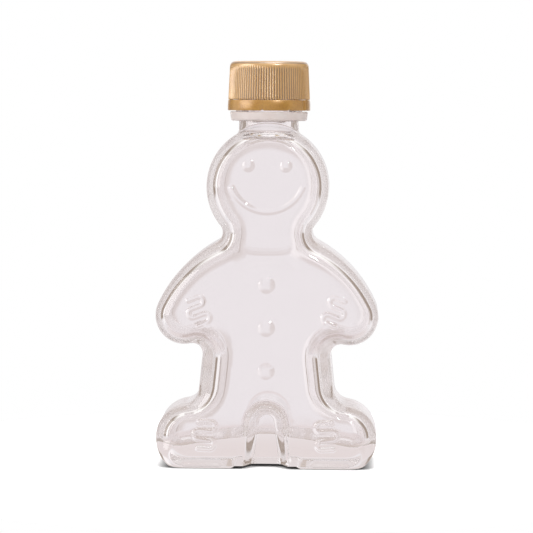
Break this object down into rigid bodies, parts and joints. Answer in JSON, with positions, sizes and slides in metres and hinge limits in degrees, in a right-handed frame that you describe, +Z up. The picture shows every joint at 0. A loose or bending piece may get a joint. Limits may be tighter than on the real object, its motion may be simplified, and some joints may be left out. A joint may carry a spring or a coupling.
{
  "type": "figure-shaped glass bottle",
  "caption": "Clear hollow glass bottle shaped as a smiling gingerbread figure, with a ribbed gold screw cap and tamper band.",
  "frame": {"origin": "middle of the flat base, on the surface the bottle stands on", "axes": "+Z up through the neck, X across the arms, -Y out of the smiling front"},
  "size_m": [0.0828, 0.0411, 0.1506],
  "materials": {
    "clear_glass": "clear polished flint glass with a faint rose-grey tint",
    "gold_cap": "satin gold plastic with fine upright ribs",
    "gold_band": "satin gold plastic, smooth"
  },
  "bodies": {
    "root": {"glass_bottle": "clear_glass", "screw_cap": "gold_cap", "tamper_band": "gold_band"}
  },
  "joints": []
}
